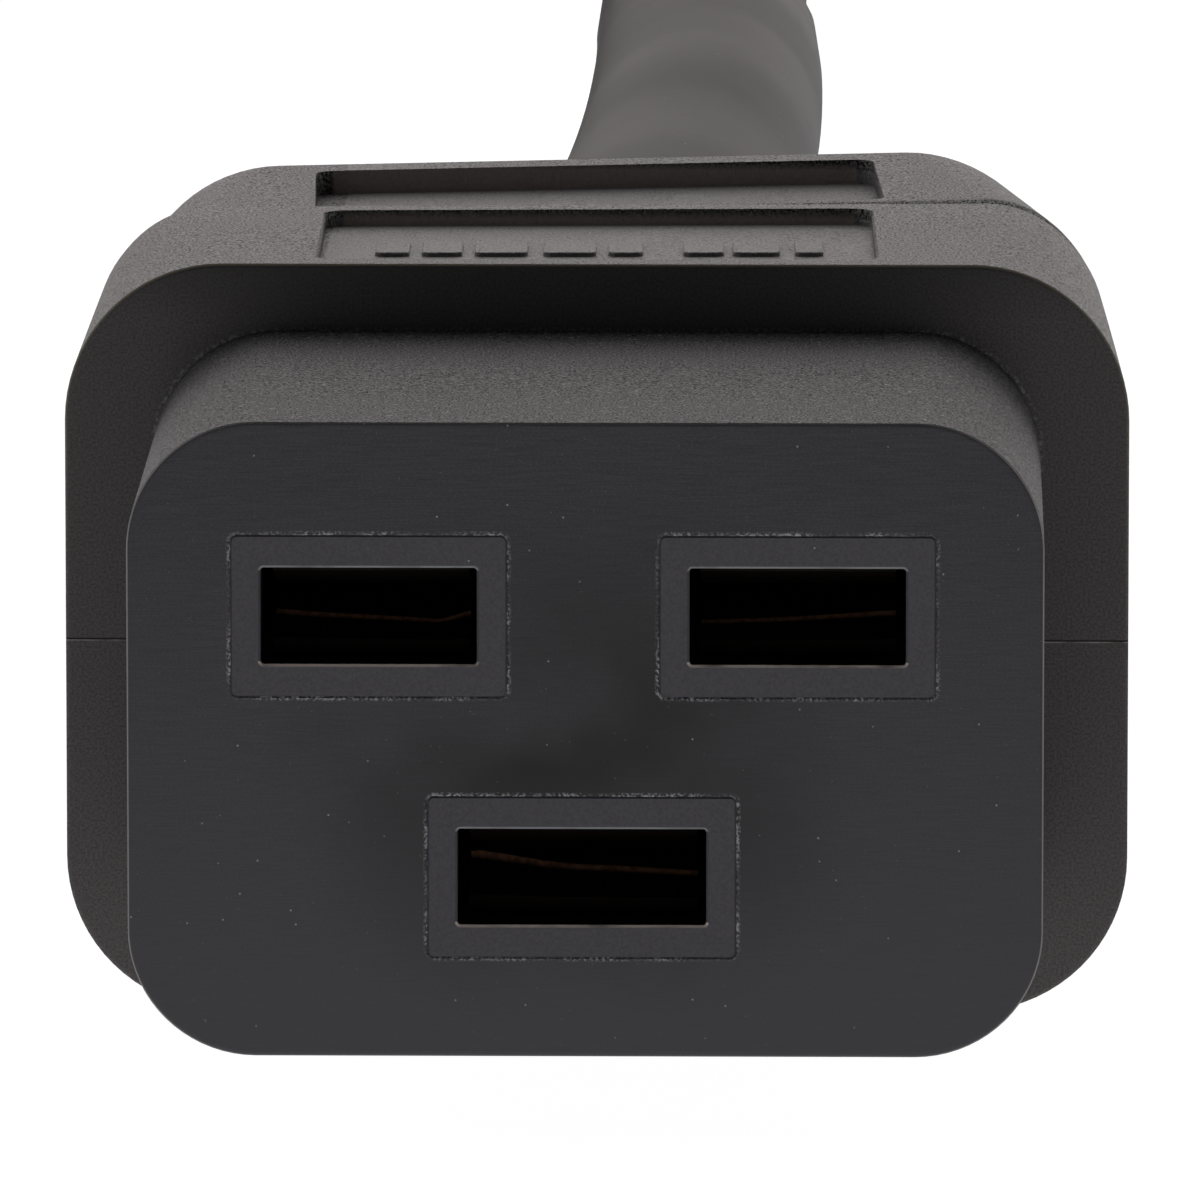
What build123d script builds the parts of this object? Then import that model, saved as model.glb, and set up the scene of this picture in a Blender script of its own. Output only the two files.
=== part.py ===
"""C19 power connector on its moulded cord, with the cord's coil and mains plug.

All sizes are in millimetres. X runs to the right, Y from the mating face back to the cord, Z up.
The connector lies on its flat underside, with the origin under the middle of its length.
"""

import math
import os

from build123d import *

# Lengths along the connector, from the mating face to the cord
nose_depth = 21.0
front_grip_length = 16.5
rear_grip_length = 13.8
shoulder_length = 9.7
tail_length = 37.0
overall_length = nose_depth + front_grip_length + rear_grip_length + shoulder_length + tail_length
grip_back = nose_depth + front_grip_length + rear_grip_length
tail_start = grip_back + shoulder_length

# Nose that plugs into an inlet
nose_width = 27.9
nose_height = 19.5
nose_corner = 3.9
nose_draft = 0.12
nose_edge_round = 0.1
root_length = 10.0
root_inset = 1.5
root_corner = 2.6
root_rib_length = 2.0
root_rib_inset = 0.6

# Grip moulded over the nose and the cord
body_width = 33.8
body_height = 24.0
body_corner = 5.0
crease_corner = 4.3
flange_edge_round = 0.12
crease_round = 0.5
crease_inset = 0.25
underside_cut = 0.05
rear_width = 30.6
rear_height = 23.8
rear_corner = 4.4
shoulder_width = 15.6
shoulder_corner = 6.6
axis_height = body_height / 2

# Recesses on the top of the grip, a little left of its middle, and the plain marks in the front one
recess_width = 17.8
recess_length = 13.6
recess_depth = 0.35
recess_rim = 1.4
recess_corner = 0.8
recess_aside = -0.1
rear_recess_width = 18.7
rear_recess_length = 9.0
rear_recess_depth = 0.7
rear_recess_aside = -0.35
recess_ridge = 2.4
mark_height = 0.2
mark_length = 3.2
mark_bar_width = 0.75
mark_ring_width = 1.35
mark_line = 0.4
mark_pitch = 2.1
mark_from_rim = 1.4
mark_kinds = ["bar", "ring", "bar", "ring", "ring", "bar", "ring"]

# Segmented strain relief
tail_front_radius = 7.5
tail_end_radius = 6.3
tail_groove_count = 6
tail_groove_width = 1.7
tail_groove_pitch = 4.6
tail_groove_from_root = 4.5
tail_groove_floor = 5.5
tail_bridge_width = 4.5
tail_cut_margin = 1.0
tail_end_round = 0.5

# Contact positions on the mating face
power_pitch = 13.0
power_rise = 3.8
earth_drop = 4.2

# Hard inserts around the contacts, flush with the face
power_slot_width = 6.5
earth_slot_width = 7.5
slot_height = 2.9
slot_corner = 0.1
insert_side_wall = 0.95
insert_corner = 0.2
insert_height = 4.95
insert_length = 27.0
insert_front_wall = 1.6
chamber_height = 3.9
chamber_side_wall = 0.6

# Sprung contacts and their crimps
strip_thickness = 0.45
contact_side_gap = 0.3
contact_lip = 2.7
contact_lip_height = 1.25
contact_ridge = 5.0
contact_ridge_height = 0.55
contact_spread = 16.8
contact_back = 18.8
contact_back_height = 1.45
contact_neck_width = 2.6
contact_neck_overlap = 2.0
crimp_start = 24.0
crimp_length = 7.0
crimp_cone_length = 1.5
sleeve_length = 2.5

# Cord
cord_diameter = 9.8
bend_share = 0.45
core_diameter = 3.5
core_gap = 0.2
strand_diameter = 2.1
jacket_end = 58.0
core_lead = 5.0
core_bend_radius = 7.0

# Mains plug on the cord's far end
plug_tail_length = 28.0
plug_shoulder_length = 9.0
plug_grip_length = 21.0
plug_width = 26.0
plug_height = 26.0
plug_corner = 7.0
plug_edge_round = 0.9
plug_neck_width = 15.4
plug_neck_corner = 7.4
plug_groove_count = 4
carrier_width = 20.0
carrier_height = 22.4
carrier_corner = 5.0
carrier_thickness = 3.0
blade_pitch = 12.7
blade_rise = 4.0
blade_thickness = 1.5
blade_width = 6.35
wide_blade_width = 7.9
blade_reach = 17.0
blade_nose_chamfer = 0.5
earth_pin_diameter = 4.8
earth_pin_reach = 20.5
earth_pin_drop = 7.9
blade_root_length = 6.0
blade_root_width = 4.0
plug_crimp_length = 5.0
plug_jacket_end = 33.0

# Route of the free cord, point by point, from inside the connector to the coil
floor_gap = 0.1
lying_height = floor_gap + cord_diameter / 2
cord_route = [
    (0, 9, axis_height),
    (0, 83, axis_height),
    (2.0, 150, 10.6),
    (3.2, 208, 6.3),
    (8.0, 256, lying_height),
    (12.8, 284, lying_height),
    (12.8, 308, lying_height),
]

# Coil of the put-away length: two turns wide, two turns high
coil_radius = 48.0
coil_centre_y = 342.0
coil_slack = 0.4
coil_width = 2 * cord_diameter + 2 * coil_slack
coil_height = 2 * cord_diameter + coil_slack
coil_corner = 4.5
coil_centre_x = cord_route[-1][0] - coil_radius - cord_diameter / 2
coil_exit_angle = 200.0
coil_exit_length = 36.0

# Strap around the coil
tie_width = 12.0
tie_thickness = 1.2
tie_under = 0.6
tie_angle = 100.0
tie_tab_length = 14.0


def behind(face, distance):
    """Plane parallel to a mating face, a distance back towards the cord. Its depth runs forwards."""
    return face.offset(-distance)


def along(face, across, up):
    """Plane that shows a contact from the side: first axis back to the cord, second axis up."""
    origin = face.from_local_coords(Vector(across, up, 0))
    return Plane(origin, x_dir=-face.z_dir, z_dir=face.x_dir)


def contact_axis(face, across, up):
    """Axis of one contact, square to the mating face."""
    return Axis(face.from_local_coords(Vector(across, up, 0)), face.z_dir)


def save(piece, name):
    """Label a finished piece and write it under its own name."""
    piece.part.label = name
    export_step(piece.part, f"parts/{name}.step")


def crimp_outline(start, barrel_length, wall):
    """Half section of a crimp: barrel on the strands, cone, and sleeve on the insulation."""
    barrel_radius = strand_diameter / 2 + wall
    sleeve_radius = core_diameter / 2 + wall
    cone_start = start + barrel_length
    cone_end = cone_start + crimp_cone_length
    return Polyline(
        (start, 0),
        (start, barrel_radius),
        (cone_start, barrel_radius),
        (cone_end, sleeve_radius),
        (cone_end + sleeve_length, sleeve_radius),
        (cone_end + sleeve_length, 0),
        close=True,
    )


def crimp(face, across, up, start, barrel_length, wall):
    """Solid of revolution inside a crimp's outline. A wall of zero gives the crimp's bore."""
    with BuildPart() as solid:
        with BuildSketch(along(face, across, up)):
            with BuildLine():
                crimp_outline(start, barrel_length, wall)
            make_face()
        revolve(axis=contact_axis(face, across, up))
    return solid.part


def make_strands(face, across, up, start, barrel_length, name):
    """The bare copper strands, pressed to one round bundle from the crimp to the insulation."""
    with BuildPart() as strands:
        with BuildSketch(behind(face, start)):
            with Locations((across, up)):
                Circle(strand_diameter / 2)
        extrude(amount=-barrel_length - crimp_cone_length)
    save(strands, name)


def make_core(face, across, up, start, jacket, lay_angle, name):
    """An insulated conductor that leaves the cut jacket and bends out to its crimp."""
    angle = math.radians(lay_angle)
    lay_across = lay_radius * math.cos(angle)
    lay_up = lay_radius * math.sin(angle)
    route = [
        (across, up, -start),
        (across, up, -start - core_lead),
        (lay_across, lay_up, core_lead - jacket),
        (lay_across, lay_up, -jacket),
    ]
    with BuildPart() as core:
        with BuildLine():
            points = [face.from_local_coords(Vector(*point)) for point in route]
            FilletPolyline(*points, radius=core_bend_radius)
        with BuildSketch(behind(face, start)):
            with Locations((across, up)):
                Circle(core_diameter / 2)
        sweep()
    save(core, name)
    return core.part


def tail(face, root, length, front_radius, end_radius, groove_count):
    """Tapered strain relief, slotted from both sides in turn so that it bends evenly."""
    with BuildPart() as relief:
        with BuildSketch(along(face, 0, 0)):
            Polygon(
                (root, 0),
                (root, front_radius),
                (root + length, end_radius),
                (root + length, 0),
                align=None,
            )
        revolve(axis=contact_axis(face, 0, 0))
        fillet(relief.edges().group_by(contact_axis(face, 0, 0))[0], tail_end_round)
        for index in range(groove_count):
            groove_start = root + tail_groove_from_root + index * tail_groove_pitch
            turn = 90 * (index % 2)
            with BuildSketch(behind(face, groove_start)):
                Circle(front_radius + tail_cut_margin)
                Circle(tail_groove_floor, mode=Mode.SUBTRACT)
                Rectangle(tail_bridge_width, 3 * front_radius, rotation=turn, mode=Mode.SUBTRACT)
            extrude(amount=-tail_groove_width, mode=Mode.SUBTRACT)
    return relief.part


os.makedirs("parts", exist_ok=True)

mating_face = Plane(
    (0, -overall_length / 2, axis_height), x_dir=(1, 0, 0), z_dir=(0, -1, 0)
)
lay_radius = (core_diameter + core_gap) / math.sqrt(3)
lay_angles = {"line": 150, "neutral": 30, "earth": 270}

# Each pole of the connector: its name, its place on the face and the width of its slot
poles = [
    ("line", -power_pitch / 2, power_rise, power_slot_width),
    ("neutral", power_pitch / 2, power_rise, power_slot_width),
    ("earth", 0, -earth_drop, earth_slot_width),
]
core_start = crimp_start + crimp_length + crimp_cone_length

# Inserts: hard tubes with the entry slot in their front wall and an open back
for pole, across, up, slot_width in poles:
    chamber_width = slot_width + 2 * (insert_side_wall - chamber_side_wall)
    with BuildPart() as insert:
        with BuildSketch(mating_face):
            with Locations((across, up)):
                RectangleRounded(slot_width + 2 * insert_side_wall, insert_height, insert_corner)
        extrude(amount=-insert_length)
        with BuildSketch(behind(mating_face, insert_front_wall)):
            with Locations((across, up)):
                Rectangle(chamber_width, chamber_height)
        extrude(amount=insert_front_wall - insert_length, mode=Mode.SUBTRACT)
        with BuildSketch(mating_face):
            with Locations((across, up)):
                RectangleRounded(slot_width, slot_height, slot_corner)
        extrude(amount=-insert_front_wall, mode=Mode.SUBTRACT)
    save(insert, f"{pole}_insert")

# Contacts: a sprung strip folded back on itself, a neck and a crimp
for pole, across, up, slot_width in poles:
    bore = crimp(mating_face, across, up, crimp_start, crimp_length, 0)
    shell = crimp(mating_face, across, up, crimp_start, crimp_length, strip_thickness)
    with BuildPart() as contact:
        with BuildSketch(along(mating_face, across, up)):
            with BuildLine():
                Polyline(
                    (contact_lip, contact_lip_height),
                    (contact_ridge, contact_ridge_height),
                    (contact_spread, contact_back_height),
                    (contact_back, contact_back_height),
                    (contact_back, -contact_back_height),
                    (contact_spread, -contact_back_height),
                    (contact_ridge, -contact_ridge_height),
                    (contact_lip, -contact_lip_height),
                )
            trace(line_width=strip_thickness)
        extrude(amount=slot_width / 2 - contact_side_gap, both=True)
        with BuildSketch(behind(mating_face, contact_back)):
            with Locations((across, up - strand_diameter / 2 - strip_thickness / 2)):
                Rectangle(contact_neck_width, strip_thickness)
        extrude(amount=contact_back - crimp_start - contact_neck_overlap)
        add(shell)
        add(bore, mode=Mode.SUBTRACT)
    save(contact, f"{pole}_contact")
    make_strands(mating_face, across, up, crimp_start, crimp_length, f"{pole}_strands")

# Cores: each pole's insulated conductor, from the cut jacket to its crimp
cores = [
    make_core(mating_face, across, up, core_start, jacket_end, lay_angles[pole], f"{pole}_core")
    for pole, across, up, slot_width in poles
]

# Nose moulding: the plain nose and a ribbed root that the grip is moulded around
with BuildPart() as nose_moulding:
    with BuildSketch(mating_face):
        RectangleRounded(nose_width, nose_height, nose_corner)
    with BuildSketch(behind(mating_face, nose_depth)):
        RectangleRounded(
            nose_width + 2 * nose_draft, nose_height + 2 * nose_draft, nose_corner + nose_draft
        )
    loft()
    fillet(nose_moulding.edges().group_by(Axis.Y)[0], nose_edge_round)
    with BuildSketch(behind(mating_face, nose_depth)):
        RectangleRounded(nose_width - 2 * root_inset, nose_height - 2 * root_inset, root_corner)
    extrude(amount=-root_length)
    with BuildSketch(behind(mating_face, nose_depth + root_length / 2)):
        RectangleRounded(
            nose_width - 2 * root_rib_inset, nose_height - 2 * root_rib_inset, root_corner
        )
    extrude(amount=-root_rib_length)
    root = nose_moulding.part
    for pole, across, up, slot_width in poles:
        with BuildSketch(mating_face):
            with Locations((across, up)):
                RectangleRounded(slot_width + 2 * insert_side_wall, insert_height, insert_corner)
        extrude(amount=-insert_length, mode=Mode.SUBTRACT)
        add(
            crimp(mating_face, across, up, crimp_start, crimp_length, strip_thickness),
            mode=Mode.SUBTRACT,
        )
save(nose_moulding, "nose_moulding")

# Grip: one soft moulding of the flange, the grip, the shoulder and the strain relief
with BuildPart() as grip_body:
    # The front is formed a little too deep, then cut off at the height that the part rests on
    with BuildSketch(behind(mating_face, nose_depth)):
        with Locations((0, -underside_cut / 2)):
            RectangleRounded(body_width, body_height + underside_cut, body_corner)
    with BuildSketch(behind(mating_face, nose_depth + front_grip_length)):
        with Locations((0, -underside_cut / 2)):
            RectangleRounded(body_width, body_height + underside_cut, crease_corner)
    loft()
    fillet(grip_body.edges().group_by(Axis.Y)[0], flange_edge_round)
    fillet(grip_body.edges().group_by(Axis.Y)[-1], crease_round)
    split(bisect_by=Plane.XY)
    with BuildSketch(behind(mating_face, nose_depth + front_grip_length)):
        RectangleRounded(
            body_width - 2 * crease_inset, body_height - 2 * crease_inset, crease_corner - crease_inset
        )
    with BuildSketch(behind(mating_face, grip_back)):
        RectangleRounded(rear_width, rear_height, rear_corner)
    loft()
    with BuildSketch(behind(mating_face, grip_back)):
        RectangleRounded(rear_width, rear_height, rear_corner)
    with BuildSketch(behind(mating_face, tail_start)):
        RectangleRounded(shoulder_width, shoulder_width, shoulder_corner)
    loft()
    add(
        tail(
            mating_face, tail_start, tail_length, tail_front_radius, tail_end_radius, tail_groove_count
        )
    )
    # Recesses on the top, with a ridge between them
    recess_front = nose_depth + recess_rim - overall_length / 2
    rear_recess_front = recess_front + recess_length + recess_ridge
    with BuildSketch(Plane.XY.offset(body_height)):
        with Locations((recess_aside, recess_front + recess_length / 2)):
            RectangleRounded(recess_width, recess_length, recess_corner)
    extrude(amount=-recess_depth, mode=Mode.SUBTRACT)
    with BuildSketch(Plane.XY.offset(body_height)):
        with Locations((rear_recess_aside, rear_recess_front + rear_recess_length / 2)):
            RectangleRounded(rear_recess_width, rear_recess_length, recess_corner)
    extrude(amount=-rear_recess_depth, mode=Mode.SUBTRACT)
    # Plain raised marks on the floor of the front recess
    with BuildSketch(Plane.XY.offset(body_height - recess_depth)):
        mark_row = recess_front + mark_from_rim + mark_length / 2
        for index, kind in enumerate(mark_kinds):
            mark_across = recess_aside + (index - (len(mark_kinds) - 1) / 2) * mark_pitch
            mark_width = mark_bar_width if kind == "bar" else mark_ring_width
            with Locations((mark_across, mark_row)):
                SlotOverall(mark_length, mark_width, rotation=90)
                if kind == "ring":
                    SlotOverall(
                        mark_length - 2 * mark_line,
                        mark_width - 2 * mark_line,
                        rotation=90,
                        mode=Mode.SUBTRACT,
                    )
    extrude(amount=mark_height)
    # The grip is moulded around the root, the crimps, the cores and the jacket
    add(root, mode=Mode.SUBTRACT)
    for pole, across, up, slot_width in poles:
        add(
            crimp(mating_face, across, up, crimp_start, crimp_length, strip_thickness),
            mode=Mode.SUBTRACT,
        )
    for core in cores:
        add(core, mode=Mode.SUBTRACT)
    with BuildSketch(behind(mating_face, jacket_end)):
        Circle(cord_diameter / 2)
    extrude(amount=jacket_end - overall_length, mode=Mode.SUBTRACT)
save(grip_body, "grip_body")

# Cord: a jacketed tube from inside the grip to the coil, in straight runs joined by wide arcs
route = [Vector(*point) for point in cord_route]
run_lengths = [(there - here).length for here, there in zip(route, route[1:])]
bend_radii = []
for here, point, there in zip(route, route[1:], route[2:]):
    half_turn = math.radians((point - here).get_angle(there - point)) / 2
    shorter_run = min((point - here).length, (there - point).length)
    bend_radii.append(bend_share * shorter_run / math.tan(half_turn))
with BuildPart() as cord_run:
    with BuildLine() as cord_path:
        FilletPolyline(*route, radius=bend_radii)
    with BuildSketch(Plane(route[0], z_dir=route[1] - route[0])):
        Circle(cord_diameter / 2)
    sweep()
save(cord_run, "cord_run")
cord_section = math.pi * cord_diameter**2 / 4
print("cord bend radii:", [round(radius) for radius in bend_radii])
print("cord runs:", [round(length) for length in run_lengths])
cord_length = sum(edge.length for edge in cord_path.edges())
print("cord volume:", round(cord_run.part.volume), "against", round(cord_section * cord_length))

# Tie: a strap closed around the coil's turns, with the end of the strap laid back on its top
tie_turn = math.radians(tie_angle)
tie_outwards = Vector(math.cos(tie_turn), math.sin(tie_turn), 0)
coil_middle = Vector(coil_centre_x, coil_centre_y, 0)
tie_plane = Plane(coil_middle, x_dir=tie_outwards, z_dir=tie_outwards.cross(Vector(0, 0, 1)))
with BuildPart() as coil_tie:
    with BuildSketch(tie_plane):
        with Locations((coil_radius, (coil_height + tie_thickness) / 2)):
            RectangleRounded(coil_width + 2 * tie_thickness, coil_height + tie_thickness, coil_corner)
        with Locations((coil_radius, (coil_height + tie_under) / 2)):
            RectangleRounded(
                coil_width, coil_height - tie_under, coil_corner - tie_thickness, mode=Mode.SUBTRACT
            )
        with Locations((coil_radius, coil_height + 1.5 * tie_thickness)):
            Rectangle(tie_tab_length, tie_thickness)
    extrude(amount=tie_width / 2, both=True)
save(coil_tie, "coil_tie")

# Coil: one closed solid of the outer shape of its turns, with the cord's two ends leaving it
exit_turn = math.radians(coil_exit_angle)
exit_from = coil_middle + Vector(
    (coil_radius + cord_diameter / 2) * math.cos(exit_turn),
    (coil_radius + cord_diameter / 2) * math.sin(exit_turn),
    plug_height / 2,
)
exit_heading = Vector(-math.sin(exit_turn), math.cos(exit_turn), 0)
plug_length = plug_tail_length + plug_shoulder_length + plug_grip_length
plug_face = Plane(
    exit_from + exit_heading * (coil_exit_length + plug_length),
    x_dir=Vector(0, 0, 1).cross(exit_heading),
    z_dir=exit_heading,
)
with BuildPart() as cord_coil:
    with BuildSketch(Plane(coil_middle, x_dir=(1, 0, 0), z_dir=(0, -1, 0))):
        with Locations((coil_radius, coil_height / 2)):
            RectangleRounded(coil_width, coil_height, coil_corner)
    revolve(axis=Axis(coil_middle, (0, 0, 1)))
    with BuildSketch(Plane(route[-1], z_dir=route[-1] - route[-2])):
        Circle(cord_diameter / 2)
    extrude(amount=coil_centre_y - cord_route[-1][1])
    with BuildSketch(Plane(exit_from, z_dir=exit_heading)):
        Circle(cord_diameter / 2)
    extrude(amount=coil_exit_length + plug_length - plug_jacket_end)
    add(coil_tie.part, mode=Mode.SUBTRACT)
save(cord_coil, "cord_coil")

# Each pole of the plug: its name, its place on the face, and its blade's width, or none for the pin
plug_poles = [
    ("line", -blade_pitch / 2, blade_rise, blade_width),
    ("neutral", blade_pitch / 2, blade_rise, wide_blade_width),
    ("earth", 0, -earth_pin_drop, None),
]
plug_core_start = blade_root_length + plug_crimp_length + crimp_cone_length

# Blades and pin: each with a root inside the plug and a crimp on its core
plug_contacts = []
plug_cores = []
for pole, across, up, width in plug_poles:
    bore = crimp(plug_face, across, up, blade_root_length, plug_crimp_length, 0)
    shell = crimp(plug_face, across, up, blade_root_length, plug_crimp_length, strip_thickness)
    with BuildPart() as blade:
        if width:
            with BuildSketch(plug_face.offset(blade_reach)):
                with Locations((across, up)):
                    Rectangle(blade_thickness, width)
            extrude(amount=-blade_reach)
            tip = blade.edges().group_by(contact_axis(plug_face, 0, 0))[-1]
            chamfer(tip, blade_nose_chamfer)
            with BuildSketch(plug_face):
                with Locations((across, up)):
                    Rectangle(blade_thickness, blade_root_width)
            extrude(amount=-blade_root_length - contact_neck_overlap)
        else:
            with BuildSketch(plug_face.offset(earth_pin_reach)):
                with Locations((across, up)):
                    Circle(earth_pin_diameter / 2)
            extrude(amount=-earth_pin_reach - blade_root_length)
            tip = blade.edges().group_by(contact_axis(plug_face, 0, 0))[-1]
            fillet(tip, earth_pin_diameter / 2 - blade_nose_chamfer)
        add(shell)
        add(bore, mode=Mode.SUBTRACT)
    plug_contacts.append(blade.part)
    save(blade, f"plug_{pole}_{'blade' if width else 'pin'}")
    make_strands(
        plug_face, across, up, blade_root_length, plug_crimp_length, f"plug_{pole}_strands"
    )
    plug_cores.append(
        make_core(
            plug_face,
            across,
            up,
            plug_core_start,
            plug_jacket_end,
            lay_angles[pole],
            f"plug_{pole}_core",
        )
    )

# Carrier: the hard plate that holds the blades, flush with the plug's face
with BuildPart() as plug_carrier:
    with BuildSketch(plug_face):
        RectangleRounded(carrier_width, carrier_height, carrier_corner)
    extrude(amount=-carrier_thickness)
    for contact_part in plug_contacts:
        add(contact_part, mode=Mode.SUBTRACT)
save(plug_carrier, "plug_carrier")

# Plug body: one soft moulding of the grip, the shoulder and the strain relief
with BuildPart() as plug_body:
    with BuildSketch(plug_face):
        RectangleRounded(plug_width, plug_height, plug_corner)
    extrude(amount=-plug_grip_length)
    fillet(plug_body.edges().group_by(contact_axis(plug_face, 0, 0))[-1], plug_edge_round)
    with BuildSketch(behind(plug_face, plug_grip_length)):
        RectangleRounded(plug_width, plug_height, plug_corner)
    with BuildSketch(behind(plug_face, plug_grip_length + plug_shoulder_length)):
        RectangleRounded(plug_neck_width, plug_neck_width, plug_neck_corner)
    loft()
    add(
        tail(
            plug_face,
            plug_grip_length + plug_shoulder_length,
            plug_tail_length,
            tail_front_radius,
            tail_end_radius,
            plug_groove_count,
        )
    )
    with BuildSketch(plug_face):
        RectangleRounded(carrier_width, carrier_height, carrier_corner)
    extrude(amount=-carrier_thickness, mode=Mode.SUBTRACT)
    for pole, across, up, width in plug_poles:
        add(
            crimp(plug_face, across, up, blade_root_length, plug_crimp_length, strip_thickness),
            mode=Mode.SUBTRACT,
        )
    for piece in plug_contacts + plug_cores:
        add(piece, mode=Mode.SUBTRACT)
    with BuildSketch(behind(plug_face, plug_jacket_end)):
        Circle(cord_diameter / 2)
    extrude(amount=plug_jacket_end - plug_length, mode=Mode.SUBTRACT)
save(plug_body, "plug_body")
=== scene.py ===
"""The C19 connector on its cord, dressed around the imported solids: X right, Y back, Z up."""

import math

import bpy
import numpy as np
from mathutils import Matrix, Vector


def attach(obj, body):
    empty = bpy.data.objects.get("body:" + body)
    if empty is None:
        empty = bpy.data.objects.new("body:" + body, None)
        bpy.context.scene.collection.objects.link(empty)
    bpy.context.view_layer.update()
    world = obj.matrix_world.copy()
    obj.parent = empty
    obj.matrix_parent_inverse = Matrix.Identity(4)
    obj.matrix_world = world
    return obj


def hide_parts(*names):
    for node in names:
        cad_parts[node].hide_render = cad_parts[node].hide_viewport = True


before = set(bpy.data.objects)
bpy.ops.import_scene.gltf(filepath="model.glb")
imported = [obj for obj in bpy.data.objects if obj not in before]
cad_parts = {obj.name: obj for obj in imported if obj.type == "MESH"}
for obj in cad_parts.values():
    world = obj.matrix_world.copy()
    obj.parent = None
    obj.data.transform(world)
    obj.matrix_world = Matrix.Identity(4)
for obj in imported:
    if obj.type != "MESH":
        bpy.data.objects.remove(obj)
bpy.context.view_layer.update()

# The view: a camera with a long lens, almost square to the mating face and a little above it.
# The connector lies on a white light table before a bright wall, as small goods are often
# photographed, with four weak lamps. Nothing throws a dark shadow, and the front stays dark.
mm = 0.001
camera_place = (8.0 * mm, -499.3 * mm, 82.2 * mm)
camera_lens = 449.6
camera_sensor = 36.0
camera_down = math.radians(8.3205)
camera_left = math.radians(0.960)
lamps = {  # each one's place, width in metres and power in watts
    "lamp_above": ((0.0, 0.25, 0.6), 0.7, 0.8),
    "lamp_left": ((-0.7, 0.1, 0.35), 0.4, 1.0),
    "lamp_right": ((0.7, 0.25, 0.45), 0.5, 0.8),
    "lamp_front": ((-0.05, -0.8, 0.13), 0.2, 0.14),
}
wall_edge = 0.5
wall_middle = 1.0
room_dark = 0.003
room_bright = 1.55
room_colour = (1.0, 0.93, 0.925)
table_size = 4.0
table_colour = (0.1, 0.1, 0.1)
table_glow = 0.985


def placed(name, data):
    """New object in the scene, at the origin."""
    piece = bpy.data.objects.new(name, data)
    bpy.context.scene.collection.objects.link(piece)
    return piece


camera = placed("camera", bpy.data.cameras.new("camera"))
camera.location = camera_place
camera.rotation_euler = (math.pi / 2 - camera_down, 0.0, camera_left)
camera.data.lens = camera_lens
camera.data.sensor_width = camera_sensor
bpy.context.scene.camera = camera
bpy.context.scene.view_settings.view_transform = "Standard"

for lamp_name, (lamp_place, lamp_size, lamp_power) in lamps.items():
    lamp = placed(lamp_name, bpy.data.lights.new(lamp_name, "AREA"))
    lamp.location = lamp_place
    lamp.rotation_euler = (-Vector(lamp_place)).to_track_quat("-Z", "Y").to_euler()
    lamp.data.size = lamp_size
    lamp.data.energy = lamp_power


def axes_of(tree, place):
    """The place's X, Y and Z, each a socket."""
    parts = tree.nodes.new("ShaderNodeSeparateXYZ")
    tree.links.new(place, parts.inputs[0])
    return parts.outputs


def span(tree, value, low, high, out_low=0.0, out_high=1.0):
    """The value carried from one span to another and kept inside it."""
    step = tree.nodes.new("ShaderNodeMapRange")
    for socket, number in (
        ("From Min", low), ("From Max", high), ("To Min", out_low), ("To Max", out_high)
    ):
        step.inputs[socket].default_value = number
    tree.links.new(value, step.inputs["Value"])
    return step.outputs[0]


room = bpy.data.worlds.new("room")
room.use_nodes = True
bpy.context.scene.world = room
tree = room.node_tree
look = tree.nodes.new("ShaderNodeTexCoord").outputs["Generated"]
fade = span(tree, axes_of(tree, look)["Y"], wall_edge, wall_middle, room_dark, room_bright)
fade.node.interpolation_type = "SMOOTHSTEP"
tree.nodes["Background"].inputs["Color"].default_value = (*room_colour, 1.0)
tree.links.new(fade, tree.nodes["Background"].inputs["Strength"])


def finish(name, colour, roughness, gloss=0.5, metal=0.0):
    """New material with one shader: the material, its node tree, the shader and the place."""
    material = bpy.data.materials.new(name)
    material.use_nodes = True
    tree = material.node_tree
    shader = tree.nodes["Principled BSDF"]
    shader.inputs["Base Color"].default_value = (*colour, 1.0)
    shader.inputs["Roughness"].default_value = roughness
    shader.inputs["Specular IOR Level"].default_value = gloss
    shader.inputs["Metallic"].default_value = metal
    return material, tree, shader, tree.nodes.new("ShaderNodeTexCoord").outputs["Object"]


table_mesh = bpy.data.meshes.new("table")
half_table = table_size / 2
table_mesh.from_pydata(
    [(half_table * x, half_table * y, 0.0) for x, y in ((-1, -1), (1, -1), (1, 1), (-1, 1))],
    [],
    [(0, 1, 2, 3)],
)
table = placed("table", table_mesh)
table_top, tree, shader, place = finish("table_top", table_colour, 0.7, 0.2)
shader.inputs["Emission Color"].default_value = (1.0, 1.0, 1.0, 1.0)
shader.inputs["Emission Strength"].default_value = table_glow
table_mesh.materials.append(table_top)

# Cord: three cores in one round jacket of soft black plastic, 9.8 mm across. It lies on the table
# in a gentle curve, and its spare length is wound into a coil two turns wide and two high.
# It runs into both strain reliefs, which are moulded around it.
cord_width = 9.8 * mm
axis_height = 12.0 * mm
connector_end = 49.0 * mm
lying_height = 0.1 * mm + cord_width / 2
coil_side = 12.8 * mm
cord_route = [
    (0.0, 22.0 * mm, axis_height),
    (0.1 * mm, 60.0 * mm, 11.9 * mm),
    (1.9 * mm, 98.0 * mm, 12.0 * mm),
    (2.0 * mm, 146.0 * mm, 11.6 * mm),
    (1.0 * mm, 200.0 * mm, 6.9 * mm),
    (1.0 * mm, 246.0 * mm, lying_height),
    (1.4 * mm, 278.0 * mm, lying_height),
    (coil_side, 320.0 * mm, lying_height),
]
coil_radius = 48.0 * mm
coil_centre = (coil_side - coil_radius - cord_width / 2, 342.0 * mm)
coil_first = 10
coil_last = 1280
coil_step = 20
inward_turn = (300, 360)
upward_turn = (600, 660)
outward_turn = (923, 970)
lead_runs = [(12.0, 0.0), (23.0, -0.5), (36.0, -1.8), (61.0, -1.8)]  # along and down, in mm
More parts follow.
